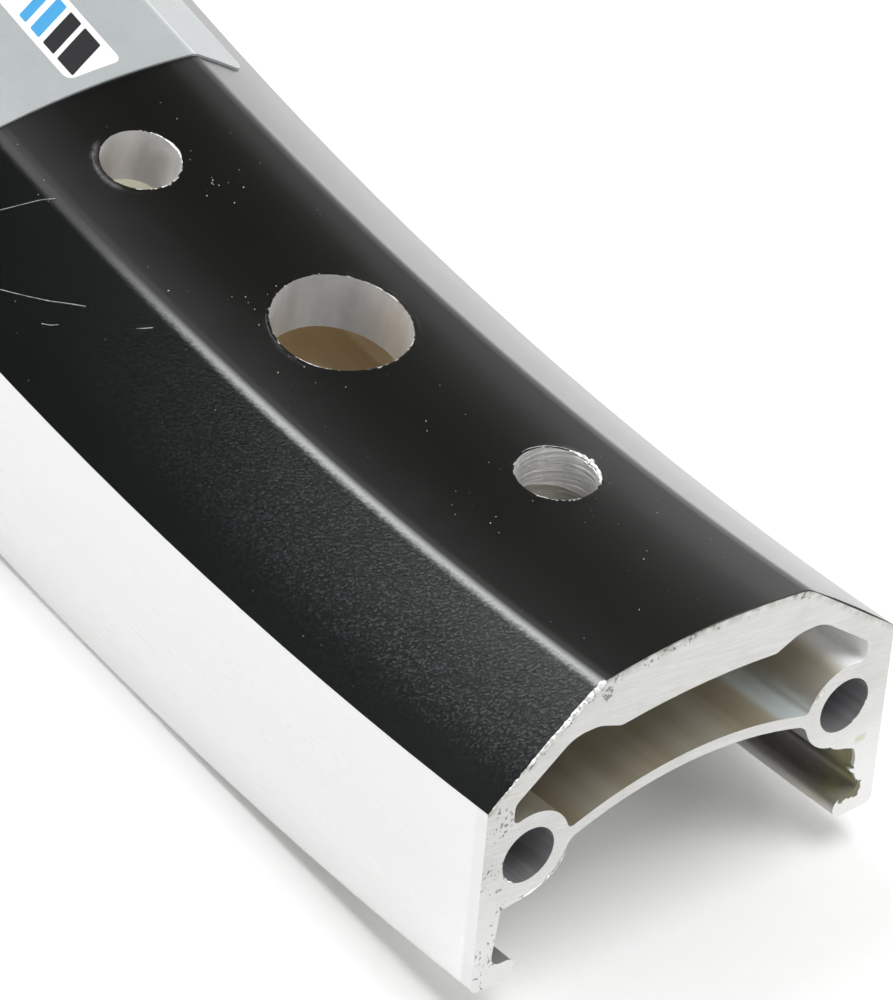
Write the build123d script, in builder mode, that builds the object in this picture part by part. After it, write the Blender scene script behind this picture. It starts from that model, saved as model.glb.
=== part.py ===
from build123d import *
from math import atan, cos, hypot, radians, sin, tan
import os

# A sawn-off sample of a double-walled bicycle rim, lying hub side up on its two tyre edges.
# +X runs along the rim to the near sawn end, +Y across it and +Z up. Lengths are in millimetres.
# The origin is on the floor under the middle of the sample, and the hoop's axis lies along Y.
# Heights in the section are measured from the tyre edges, towards the hub.

# Hoop and saw cuts
OUTER_RADIUS = 208.65  # hoop radius to the tyre edges
SAMPLE_ARC = 19.4  # degrees of the hoop between the two cuts
NEAR_CUT_SKEW = 1.6  # degrees that the near cut is out of square across the rim
NEAR_CUT_LEAN = 2.0  # degrees that the near cut leans from top to bottom
SAW_OVERRUN = 2.0  # degrees of rim beyond the near cut, sawn away

# Outside of the section
RIM_WIDTH = 29.0  # over the brake tracks at their top edge
TRACK_HEIGHT = 12.65
TRACK_FLARE = 0.1  # how far each track leans out at the tyre edge
TRACK_EDGE_RADIUS = 0.5
BED_WIDTH = 14.64  # spoke bed, between its corners
BED_RISE = 5.6  # bed corners above the brake tracks
BED_CROWN = 0.6  # bed middle above its corners
BED_EDGE_RADIUS = 1.8
SHOULDER_CROWN = 0.12  # middle of each shoulder above the straight line between its edges

# Hollow chamber
BED_THICKNESS = 3.9
PAD_WIDTH = 11.0  # thickened middle of the bed, where the spokes pull
POCKET_RISE = 0.7  # chamber roof beside the pad, above the pad's edge
POCKET_RUN = 1.6  # slope from the pad's edge to the chamber roof
SHOULDER_WALL = 1.4
CHAMBER_WALL = 1.9  # brake track wall beside the chamber
ROOF_RADIUS = 2.2  # at both ends of the roof, less where the roof is short
CHAMBER_RADIUS = 0.7

# Bridge between the two sides, arched towards the hub
BRIDGE_DEPTH = 2.98  # underside of its crown below the top of the brake tracks
BRIDGE_THICKNESS = 0.75
BRIDGE_ARCH_RADIUS = 24.0

# Bosses for the pins that joined the hoop's ends
PIN_BORE = 3.55
PIN_TRACK_WALL = 1.375  # pin bore to the brake track
PIN_BOSS_WALL = 1.025  # round the rest of the pin bore
BOSS_RISE = 1.56  # pin bore's centre above the line of the bridge
BOSS_TOP_RADIUS = 0.35
BOSS_UNDER_RADIUS = 1.1

# Tyre hooks
FLANGE_ROOT_WALL = 1.9  # beside the boss
FLANGE_FOOT_WALL = 1.1  # behind the hook
HOOK_OVERHANG = 1.8  # hook tip to the inside of the flange
HOOK_THICKNESS = 1.35
HOOK_RECESS_RADIUS = 0.7

# Drilling
SPOKE_HOLES_IN_HOOP = 36
SPOKE_HOLE = 4.8
SPOKE_STAGGER = 1.92  # spoke holes lie left and right of the hole line in turn
ACCESS_HOLE = 8.6  # in the bridge, to pass a spoke nipple
VALVE_HOLE = 8.3
VALVE_ANGLE = 0.22  # degrees from the middle of the sample
HOLE_LINE_OFFSET = 0.56  # from the middle of the bed
DRILL_OVERRUN = 1.0

# Film label on the far end
LABEL_THICKNESS = 0.15
LABEL_ARC = 3.06  # degrees from the far cut
LABEL_DROP = 6.1  # down each shoulder from the bed corner
LABEL_CORNER_RADIUS = 1.2

half_width = RIM_WIDTH / 2
half_bed = BED_WIDTH / 2
bed_edge_height = TRACK_HEIGHT + BED_RISE
bed_height = bed_edge_height + BED_CROWN
pad_height = bed_height - BED_THICKNESS
bridge_height = TRACK_HEIGHT - BRIDGE_DEPTH
boss_radius = PIN_BORE / 2 + PIN_BOSS_WALL
boss_y = half_width - PIN_TRACK_WALL - PIN_BORE / 2
hole_pitch = 360 / SPOKE_HOLES_IN_HOOP
shoulder_slope = BED_RISE / (half_width - half_bed)
shoulder_angle = atan(shoulder_slope)
far_angle = -SAMPLE_ARC / 2
near_angle = SAMPLE_ARC / 2

# The hoop turns about this axis from the far cut to the near one.
HOOP_AXIS = Axis((0, 0, OUTER_RADIUS), (0, -1, 0))


def along(angle):
    """The direction along the rim at an angle from the middle of the sample."""
    return Vector(cos(radians(angle)), 0, sin(radians(angle)))


def hubward(angle):
    """The direction from the tyre edges to the hub at that angle."""
    return Vector(-sin(radians(angle)), 0, cos(radians(angle)))


def hoop_point(angle, height, across=0.0):
    """A point of the rim, by its angle, its height over the tyre edges and its place across."""
    return Vector(0, across, OUTER_RADIUS) - hubward(angle) * (OUTER_RADIUS - height)


def section_plane(angle):
    """The plane of the rim's section at an angle: x across the rim, y up from the tyre edges."""
    return Plane(hoop_point(angle, 0), x_dir=(0, 1, 0), z_dir=along(angle))


def drill_plane(angle, height, across):
    """The plane that a drill enters, square to the spoke direction."""
    return Plane(hoop_point(angle, height, across), x_dir=(0, 1, 0), z_dir=hubward(angle))


def near_cut_plane():
    """The plane of the near saw cut, slightly skewed and leaning."""
    skew = Vector(0, tan(radians(NEAR_CUT_SKEW)), 0)
    lean = hubward(near_angle) * tan(radians(NEAR_CUT_LEAN))
    return Plane(hoop_point(near_angle, TRACK_HEIGHT), z_dir=along(near_angle) - skew - lean)


def corners(sketch, y, height):
    """The mirrored pair of a section's corners nearest to a place and its mirror image."""
    return [sketch.vertices().sort_by_distance((side * y, height))[0] for side in (-1, 1)]


def arch_drop(radius, y):
    """How far an arc of this radius falls from its crown at a distance y."""
    return radius - (radius**2 - y**2) ** 0.5


def mirrored(points):
    """A half outline, and its mirror image in reverse order."""
    return points + [(-y, height) for y, height in reversed(points)]


# Outside of the section, filled in
with BuildSketch() as outline:
    with BuildLine():
        ThreePointArc((-half_bed, bed_edge_height), (0, bed_height), (half_bed, bed_edge_height))
        crown_y = (half_bed + half_width) / 2 + SHOULDER_CROWN * sin(shoulder_angle)
        crown_height = TRACK_HEIGHT + BED_RISE / 2 + SHOULDER_CROWN * cos(shoulder_angle)
        for side in (-1, 1):
            ThreePointArc(
                (side * half_bed, bed_edge_height),
                (side * crown_y, crown_height),
                (side * half_width, TRACK_HEIGHT),
            )
        track = [(half_width, TRACK_HEIGHT), (half_width + TRACK_FLARE, 0)]
        Polyline(*mirrored(track))
    make_face()
    fillet(corners(outline, half_bed, bed_edge_height), BED_EDGE_RADIUS)
    fillet(corners(outline, half_width + TRACK_FLARE, 0), TRACK_EDGE_RADIUS)

# Chamber, before the bosses are put in
with BuildSketch() as chamber:
    bed_radius = (half_bed**2 + BED_CROWN**2) / (2 * BED_CROWN)
    pad_edge = pad_height - arch_drop(bed_radius, PAD_WIDTH / 2)
    roof = pad_edge + POCKET_RISE
    wall_y = half_width - CHAMBER_WALL
    shoulder_drop = SHOULDER_WALL * hypot(1, shoulder_slope)
    roof_y = half_width - (roof + shoulder_drop - TRACK_HEIGHT) / shoulder_slope
    wall_top = TRACK_HEIGHT + CHAMBER_WALL * shoulder_slope - shoulder_drop
    floor_radius = BRIDGE_ARCH_RADIUS + BRIDGE_THICKNESS
    floor_height = bridge_height + BRIDGE_THICKNESS
    wall_foot = floor_height - arch_drop(floor_radius, wall_y)
    with BuildLine():
        ThreePointArc((-PAD_WIDTH / 2, pad_edge), (0, pad_height), (PAD_WIDTH / 2, pad_edge))
        for side in (-1, 1):
            Polyline(
                (side * PAD_WIDTH / 2, pad_edge),
                (side * (PAD_WIDTH / 2 + POCKET_RUN), roof),
                (side * roof_y, roof),
                (side * wall_y, wall_top),
                (side * wall_y, wall_foot),
            )
        ThreePointArc((-wall_y, wall_foot), (0, floor_height), (wall_y, wall_foot))
    make_face()
    roof_run = roof_y - PAD_WIDTH / 2 - POCKET_RUN
    roof_bend = tan(atan(POCKET_RISE / POCKET_RUN) / 2) + tan(shoulder_angle / 2)
    roof_radius = min(ROOF_RADIUS, 0.9 * roof_run / roof_bend)
    fillet(corners(chamber, PAD_WIDTH / 2, pad_edge), CHAMBER_RADIUS)
    fillet(corners(chamber, PAD_WIDTH / 2 + POCKET_RUN, roof), roof_radius)
    fillet(corners(chamber, roof_y, roof), roof_radius)
    fillet(corners(chamber, wall_y, wall_top), CHAMBER_RADIUS)

# Tyre channel, open below, before the bosses are put in
with BuildSketch() as channel:
    nose_radius = HOOK_THICKNESS / 2
    foot_y = half_width - FLANGE_FOOT_WALL
    nose_y = foot_y - HOOK_OVERHANG + nose_radius
    root_y = half_width - FLANGE_ROOT_WALL
    arch_end = bridge_height - arch_drop(BRIDGE_ARCH_RADIUS, boss_y)
    boss_height = arch_end + BOSS_RISE
    with BuildLine():
        ThreePointArc((-boss_y, arch_end), (0, bridge_height), (boss_y, arch_end))
        for side in (-1, 1):
            Polyline(
                (side * boss_y, arch_end),
                (side * root_y, boss_height),
                (side * foot_y, HOOK_THICKNESS),
                (side * nose_y, HOOK_THICKNESS),
            )
            ThreePointArc(
                (side * nose_y, HOOK_THICKNESS),
                (side * (nose_y - nose_radius), nose_radius),
                (side * nose_y, 0),
            )
        Line((-nose_y, 0), (nose_y, 0))
    make_face()
    fillet(corners(channel, foot_y, HOOK_THICKNESS), HOOK_RECESS_RADIUS)

# Rim: the section rolled to the hoop's radius, sawn off and drilled
with BuildPart() as rim:
    with BuildSketch(section_plane(far_angle)) as section:
        add(outline.sketch)
        add(chamber.sketch, mode=Mode.SUBTRACT)
        add(channel.sketch, mode=Mode.SUBTRACT)
        with Locations((-boss_y, boss_height), (boss_y, boss_height)):
            Circle(boss_radius)
            Circle(PIN_BORE / 2, mode=Mode.SUBTRACT)
        boss_side = boss_y - boss_radius
        wall_meet = (boss_radius**2 - (wall_y - boss_y) ** 2) ** 0.5
        root_meet = (boss_radius**2 - (root_y - boss_y) ** 2) ** 0.5
        fillet(corners(section, boss_side, boss_height + BRIDGE_THICKNESS), BOSS_TOP_RADIUS)
        fillet(corners(section, boss_side, boss_height - BRIDGE_THICKNESS), BOSS_UNDER_RADIUS)
        fillet(corners(section, wall_y, boss_height + wall_meet), BOSS_TOP_RADIUS)
        fillet(corners(section, root_y, boss_height - root_meet), BOSS_TOP_RADIUS)
    revolve(axis=HOOP_AXIS, revolution_arc=SAMPLE_ARC + SAW_OVERRUN)
    split(bisect_by=near_cut_plane(), keep=Keep.BOTTOM)

    drill_start = bed_height + DRILL_OVERRUN
    with BuildSketch(drill_plane(VALVE_ANGLE, drill_start, HOLE_LINE_OFFSET)):
        Circle(VALVE_HOLE / 2)
    extrude(amount=-drill_start, mode=Mode.SUBTRACT)

    chamber_middle = (floor_height + pad_height) / 2
    for side in (-1, 1):
        spoke_angle = VALVE_ANGLE + side * hole_pitch / 2
        across = HOLE_LINE_OFFSET + side * SPOKE_STAGGER
        with BuildSketch(drill_plane(spoke_angle, drill_start, across)):
            Circle(SPOKE_HOLE / 2)
        extrude(amount=chamber_middle - drill_start, mode=Mode.SUBTRACT)
        with BuildSketch(drill_plane(spoke_angle, chamber_middle, across)):
            Circle(ACCESS_HOLE / 2)
        extrude(amount=-chamber_middle, mode=Mode.SUBTRACT)

# Label: a thin film over the bed and the upper shoulders, cut off flush by the far saw cut
with BuildPart() as label:
    with BuildSketch(section_plane(far_angle)) as film:
        add(outline.sketch)
        offset(amount=LABEL_THICKNESS)
        add(outline.sketch, mode=Mode.SUBTRACT)
        edge_y = half_bed + LABEL_DROP * cos(shoulder_angle)
        edge_height = bed_edge_height - LABEL_DROP * sin(shoulder_angle)
        reach_y = (SHOULDER_CROWN + 2 * LABEL_THICKNESS) * sin(shoulder_angle)
        reach_height = (SHOULDER_CROWN + 2 * LABEL_THICKNESS) * cos(shoulder_angle)
        with BuildLine():
            span = [
                (edge_y - reach_y, edge_height - reach_height),
                (edge_y + reach_y, edge_height + reach_height),
                (edge_y + reach_y, drill_start),
            ]
            Polyline(*mirrored(span), close=True)
        make_face(mode=Mode.INTERSECT)
    revolve(axis=HOOP_AXIS, revolution_arc=LABEL_ARC + SAW_OVERRUN)
    label_length = radians(LABEL_ARC) * OUTER_RADIUS
    with BuildSketch(drill_plane(far_angle + LABEL_ARC, drill_start, 0)):
        RectangleRounded(
            2 * (edge_y + LABEL_THICKNESS),
            2 * label_length,
            LABEL_CORNER_RADIUS,
            align=(Align.CENTER, Align.MIN),
        )
    extrude(amount=-drill_start, mode=Mode.INTERSECT)

os.makedirs("parts", exist_ok=True)
rim.part.label = "rim"
export_step(rim.part, "parts/rim.step")
label.part.label = "label"
export_step(label.part, "parts/label.step")
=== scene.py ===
import bmesh
import bpy
import random
from math import atan2, cos, degrees, hypot, radians, sin, tan
from mathutils import Matrix, Vector


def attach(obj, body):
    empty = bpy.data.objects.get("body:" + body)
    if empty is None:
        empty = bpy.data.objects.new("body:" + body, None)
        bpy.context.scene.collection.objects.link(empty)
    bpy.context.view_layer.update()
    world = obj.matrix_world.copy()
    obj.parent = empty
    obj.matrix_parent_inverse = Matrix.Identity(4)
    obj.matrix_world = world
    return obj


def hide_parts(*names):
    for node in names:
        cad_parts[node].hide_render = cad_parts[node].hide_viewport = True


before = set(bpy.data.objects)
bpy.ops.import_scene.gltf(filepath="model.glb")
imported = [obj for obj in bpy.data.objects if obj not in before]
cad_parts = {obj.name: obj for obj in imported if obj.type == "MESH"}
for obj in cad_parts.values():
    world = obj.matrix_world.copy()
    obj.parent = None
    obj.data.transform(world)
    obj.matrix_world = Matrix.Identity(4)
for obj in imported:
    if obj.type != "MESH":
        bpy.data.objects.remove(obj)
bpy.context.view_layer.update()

# Units: the scene is in metres, the sizes below are in millimetres and degrees
MM = 0.001
PER_METRE = 1000.0

# Sizes of the rim that the looks are placed by, as in the part's source
HOOP_RADIUS = 208.65
NEAR_ANGLE = 9.7
FAR_ANGLE = -9.7
CUT_SKEW = 1.6
CUT_LEAN = 2.0
HALF_WIDTH = 14.5
TRACK_HEIGHT = 12.65
HALF_BED = 7.32
BED_RISE = 5.6
BED_CROWN = 0.6
SHOULDER_CROWN = 0.12
BED_EDGE_HEIGHT = TRACK_HEIGHT + BED_RISE
BED_TOP_HEIGHT = BED_EDGE_HEIGHT + BED_CROWN
BED_TOP_RADIUS = HOOP_RADIUS - BED_TOP_HEIGHT
SHOULDER_SLOPE = BED_RISE / (HALF_WIDTH - HALF_BED)
BOSS_Y = 11.35
BOSS_HEIGHT = 8.38
PIN_RADIUS = 1.775
CHAMBER_FLOOR = 10.42
VALVE_ANGLE = 0.22
HOLE_STEP = 5.0
HOLE_LINE = 0.56
STAGGER = 1.92
VALVE_RADIUS = 4.15
SPOKE_RADIUS = 2.4
ACCESS_RADIUS = 4.3

# Drilled holes: angle on the hoop, distance across and radius
VALVE = (VALVE_ANGLE, HOLE_LINE, VALVE_RADIUS)
FAR_SPOKE = (VALVE_ANGLE - HOLE_STEP, HOLE_LINE - STAGGER, SPOKE_RADIUS)
NEAR_SPOKE = (VALVE_ANGLE + HOLE_STEP, HOLE_LINE + STAGGER, SPOKE_RADIUS)
BED_HOLES = [VALVE, FAR_SPOKE, NEAR_SPOKE]
BRIDGE_HOLES = [VALVE, (*FAR_SPOKE[:2], ACCESS_RADIUS), (*NEAR_SPOKE[:2], ACCESS_RADIUS)]


def along(angle):
    """The direction along the rim at an angle from the middle of the sample."""
    return Vector((cos(radians(angle)), 0, sin(radians(angle))))


def hubward(angle):
    """The direction from the tyre edges to the hub at that angle."""
    return Vector((-sin(radians(angle)), 0, cos(radians(angle))))


def hoop_point(angle, across, height):
    """A point of the rim in millimetres."""
    return Vector((0, across, HOOP_RADIUS)) - hubward(angle) * (HOOP_RADIUS - height)


def bed_distance(angle):
    """The distance along the bed from the middle of the sample to an angle."""
    return radians(angle) * BED_TOP_RADIUS


def top_height(across):
    """The height of the coated top at a distance across, on the bed or on a shoulder."""
    side = abs(across)
    if side < HALF_BED:
        return BED_TOP_HEIGHT - BED_CROWN * (side / HALF_BED) ** 2
    down = HALF_WIDTH - side
    share = down / (HALF_WIDTH - HALF_BED)
    return TRACK_HEIGHT + down * SHOULDER_SLOPE + 4 * SHOULDER_CROWN * share * (1 - share)


def top_point(along_bed, across, lift=0.0):
    """A point on the coated top, by its distance along the bed from the middle of the sample."""
    return hoop_point(degrees(along_bed / BED_TOP_RADIUS), across, top_height(across) + lift)


CUT_POINT = hoop_point(NEAR_ANGLE, 0, TRACK_HEIGHT)
CUT_NORMAL = along(NEAR_ANGLE) - Vector((0, tan(radians(CUT_SKEW)), 0))
CUT_NORMAL = (CUT_NORMAL - hubward(NEAR_ANGLE) * tan(radians(CUT_LEAN))).normalized()


def cut_point(across, height):
    """The point of the near saw cut at a place in the section, closed in on in three steps."""
    angle = NEAR_ANGLE
    for _ in range(3):
        gap = CUT_NORMAL.dot(CUT_POINT - hoop_point(angle, across, height))
        angle += degrees(gap / (HOOP_RADIUS - height))
    return hoop_point(angle, across, height)


# Node helpers
def feed(tree, socket, value):
    """Links another node's output to an input, or sets a plain value on it."""
    if isinstance(value, bpy.types.NodeSocket):
        tree.links.new(value, socket)
    else:
        socket.default_value = value


def node(tree, kind, ins=None, **options):
    """Adds a node by its full type, sets its options, then sets or links its inputs."""
    made = tree.nodes.new(kind)
    for name, value in options.items():
        setattr(made, name, value)
    for key, value in (ins or {}).items():
        feed(tree, made.inputs[key], value)
    return made


def put(tree, kind, ins=None, **options):
    """Adds a shader node."""
    return node(tree, "ShaderNode" + kind, ins, **options)


def calc(tree, operation, a, b=0.0, c=0.0):
    """A math node's result."""
    return put(tree, "Math", {0: a, 1: b, 2: c}, operation=operation).outputs[0]


def plus(tree, base, mask, amount):
    """A value with an amount added where a mask is 1."""
    return calc(tree, "MULTIPLY_ADD", mask, amount, base)


def times(tree, *factors):
    """The product of several masks."""
    product = factors[0]
    for factor in factors[1:]:
        product = calc(tree, "MULTIPLY", product, factor)
    return product


def apart(tree, value, middle):
    """How far a value lies from a middle."""
    return calc(tree, "ABSOLUTE", calc(tree, "SUBTRACT", value, middle))


def diagonal(tree, a, b):
    """The length across two sides that stand square to each other."""
    return calc(tree, "SQRT", calc(tree, "MULTIPLY_ADD", a, a, times(tree, b, b)))


def ramp(tree, value, low, high, start=0.0, end=1.0):
    """A smooth change from start to end as a value goes from low to high."""
    ins = {"Value": value, "From Min": low, "From Max": high, "To Min": start, "To Max": end}
    return put(tree, "MapRange", ins, interpolation_type="SMOOTHSTEP").outputs["Result"]


def near(tree, value, middle, half, soft):
    """1 where a value is within half of a middle, falling to 0 over a soft edge."""
    return ramp(tree, apart(tree, value, middle), half, half + soft, 1.0, 0.0)


def noise(tree, place, scale, detail=3.0, roughness=0.55):
    """Noise at a place, from 0 to 1."""
    ins = {"Vector": place, "Scale": scale, "Detail": detail, "Roughness": roughness}
    return put(tree, "TexNoise", ins).outputs["Fac"]


def blend(tree, share, a, b):
    """A colour between two, from the mix node's colour sockets."""
    made = put(tree, "Mix", {0: share}, data_type="RGBA")
    for key, value in ((6, a), (7, b)):
        linked = isinstance(value, bpy.types.NodeSocket)
        feed(tree, made.inputs[key], value if linked else (*value, 1))
    return made.outputs[2]


def bump(tree, height, depth):
    """A bump of a height map with a depth in millimetres."""
    return put(tree, "Bump", {"Height": height, "Distance": depth * MM}).outputs[0]


def add_sockets(tree, side, titles):
    """Gives a node tree its named inputs or outputs."""
    for title, kind in titles:
        tree.interface.new_socket(title, in_out=side, socket_type="NodeSocket" + kind)


# Shader node groups that the finishes share
def new_group(name, outputs, inputs=()):
    """An empty shader node group with these outputs and inputs."""
    tree = bpy.data.node_groups.new(name, "ShaderNodeTree")
    add_sockets(tree, "INPUT", inputs)
    add_sockets(tree, "OUTPUT", outputs)
    tree.nodes.new("NodeGroupOutput")
    return tree


def set_outputs(tree, values):
    """Links a group's results to its outputs."""
    end = tree.nodes["Group Output"]
    for title, socket in values.items():
        tree.links.new(socket, end.inputs[title])


def use(tree, group, ins=None):
    """Places a node group in a material with its own values: the group's outputs."""
    return put(tree, "Group", ins, node_tree=group).outputs


def make_place_group():
    """Places on the rim in millimetres: along the bed, across, height, and from the near saw cut."""
    lengths = [(title, "Float") for title in ("Along", "Across", "Height", "Cut")]
    tree = new_group("place_on_the_rim", [("Unrolled", "Vector"), *lengths])
    here = put(tree, "TexCoord").outputs["Object"]
    here = put(tree, "VectorMath", {0: here, "Scale": PER_METRE}, operation="SCALE").outputs[0]
    x, y, z = put(tree, "SeparateXYZ", {0: here}).outputs
    drop = calc(tree, "SUBTRACT", HOOP_RADIUS, z)
    along_bed = times(tree, calc(tree, "ARCTAN2", x, drop), BED_TOP_RADIUS)
    height = calc(tree, "SUBTRACT", HOOP_RADIUS, diagonal(tree, x, drop))
    unrolled = put(tree, "CombineXYZ", {0: along_bed, 1: y, 2: height}).outputs[0]
    ins = {0: here, 1: tuple(CUT_NORMAL)}
    cut = put(tree, "VectorMath", ins, operation="DOT_PRODUCT").outputs["Value"]
    cut = calc(tree, "SUBTRACT", CUT_NORMAL.dot(CUT_POINT), cut)
    results = {"Unrolled": unrolled, "Along": along_bed, "Across": y, "Height": height, "Cut": cut}
    set_outputs(tree, results)
    return tree


PLACE = make_place_group()


def make_mouth_group():
    """The distance to the edge of the nearest drilled hole, in millimetres."""
    tree = new_group("hole_mouths", [("Mouth", "Float")])
    place = use(tree, PLACE)
    nearest = None
    for angle, across, radius in BED_HOLES:
        dx = calc(tree, "SUBTRACT", place["Along"], bed_distance(angle))
        dy = calc(tree, "SUBTRACT", place["Across"], across)
        gap = calc(tree, "SUBTRACT", diagonal(tree, dx, dy), radius)
        nearest = gap if nearest is None else calc(tree, "MINIMUM", nearest, gap)
    set_outputs(tree, {"Mouth": nearest})
    return tree


MOUTH = make_mouth_group()


def make_streak_group():
    """Noise drawn out into streaks of a length along, across and up the rim, and turned."""
    inputs = [("Lengths", "Vector"), ("Turn", "Vector"), ("Detail", "Float"), ("Roughness", "Float")]
    tree = new_group("streaks_on_the_rim", [("Streaks", "Float")], inputs)
    given = tree.nodes.new("NodeGroupInput").outputs
    spot = use(tree, PLACE)["Unrolled"]
    ins = {"Vector": spot, "Rotation": given["Turn"], "Scale": given["Lengths"]}
    drawn = put(tree, "Mapping", ins, vector_type="TEXTURE").outputs[0]
    set_outputs(tree, {"Streaks": noise(tree, drawn, 1.0, given["Detail"], given["Roughness"])})
    return tree


STREAKS = make_streak_group()


def streaks(tree, lengths, detail=3.0, roughness=0.55, turn=(0, 0, 0)):
    """Streaks of these lengths in millimetres on a material, turned by these angles in degrees."""
    turn = [radians(angle) for angle in turn]
    ins = {"Lengths": lengths, "Turn": turn, "Detail": detail, "Roughness": roughness}
    return use(tree, STREAKS, ins)["Streaks"]


# Finishes: a range is low, high and the values there, a band is middle, half width and soft edge
def new_material(name):
    """A material with a principled shader: the material, its tree, its shader and the place outputs."""
    material = bpy.data.materials.new(name)
    material.use_nodes = True
    tree = material.node_tree
    tree.nodes.clear()
    shader = put(tree, "BsdfPrincipled")
    put(tree, "OutputMaterial", {"Surface": shader.outputs[0]})
    return material, tree, shader, use(tree, PLACE)


def shade(tree, shader, **values):
    """Sets or links the shader's inputs, named with underscores."""
    for key, value in values.items():
        feed(tree, shader.inputs[key.replace("_", " ")], value)


# Black coat
BED_BLACK = (0.0020, 0.0023, 0.0014)
SHOULDER_BLACK = (0.0014, 0.0024, 0.0025)
LEATHER_FLECK_AND_SHEEN = (0.055, 0.068, 0.070)
WEAR_AND_HIGHLIGHT_GREY = (0.30, 0.31, 0.31)
CHIPPED_BARE = (0.78, 0.78, 0.77)
LIP_HIGHLIGHT_GREY = (0.12, 0.12, 0.12)
LEATHER_CELL = (0.22, 0.14, 0.2)
LEATHER_TURN = (0, 0, 33)
SHOULDER_STARTS = (HALF_BED - 0.10, HALF_BED + 0.35)
LEATHER_FADES_DOWN = (HALF_WIDTH - 3.2, HALF_WIDTH - 0.6, 1.0, 0.15)
LEATHER_FADES_FAR = (-24.0, 20.0, 0.5, 1.0)
FLECK_LEVELS = (0.46, 0.72)
FLECK_SHEEN_FADES_FAR = (-16.0, 32.0, 0.05, 1.0)
FLECK_AND_SHEEN_SHARE = 0.75
WEAR_AND_HIGHLIGHT_FRINGE = 0.5
WEAR_AND_HIGHLIGHT_OUTSIDE = (-HALF_BED - 0.38, -HALF_BED + 0.06)
WEAR_AND_HIGHLIGHT_INSIDE = (-HALF_BED, -HALF_BED + 0.45, 1.0, 0.0)
WEAR_AND_HIGHLIGHT_ALONG = (-15.0, 6.0)
WEAR_AND_HIGHLIGHT_GRAIN = (0.2, 0.6, 0.8, 1.0)
CHIP_REACH = 0.85
CHIP_INSET = -0.47
CHIP_EDGE = (-0.03, 0.03, 1.0, 0.0)
LIP_HIGHLIGHT_RING = (0.32, 0.02, 0.3)
LIP_HIGHLIGHT_ALONG = (-16.4, 1.4, 0.9)
LIP_HIGHLIGHT_LEFT = (-3.0, -2.4, 1.0, 0.0)
LIP_HIGHLIGHT_CLOUDS = (0.35, 0.6)
LIP_HIGHLIGHT_SHARE = 0.55
LIP_RING = (0.22, 0.02, 0.2)
LIP_CLOUDS = (0.4, 0.62)
GRAIN_RISE = 0.10
LIP_RISE = 0.35
COAT_RELIEF = 0.02
LEFT_CORNER = (-HALF_BED + 0.2, 0.12, 0.6)
RIGHT_CORNER_STARTS = (HALF_BED - 2.8, HALF_BED - 0.1)
RIGHT_CORNER_ENDS = (HALF_BED, HALF_BED + 0.8, 1.0, 0.0)
RIGHT_CORNER_FADES = (-5.0, 30.0, 1.0, 0.5)
BED_ROUGHNESS = (0.3, 0.7, 0.276, 0.282)
SMOOTHER_SHOULDER = -0.04
ROUGHER_LEFT = 0.22
ROUGHER_RIGHT = 0.24
ROUGHER_CHIP = 0.15
GLAZE_AT_CORNERS = (0.0, 1.0, 0.6, 0.0)
GLAZE_FROM_BED = (0.0, 1.0, 0.3, 1.0)


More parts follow.
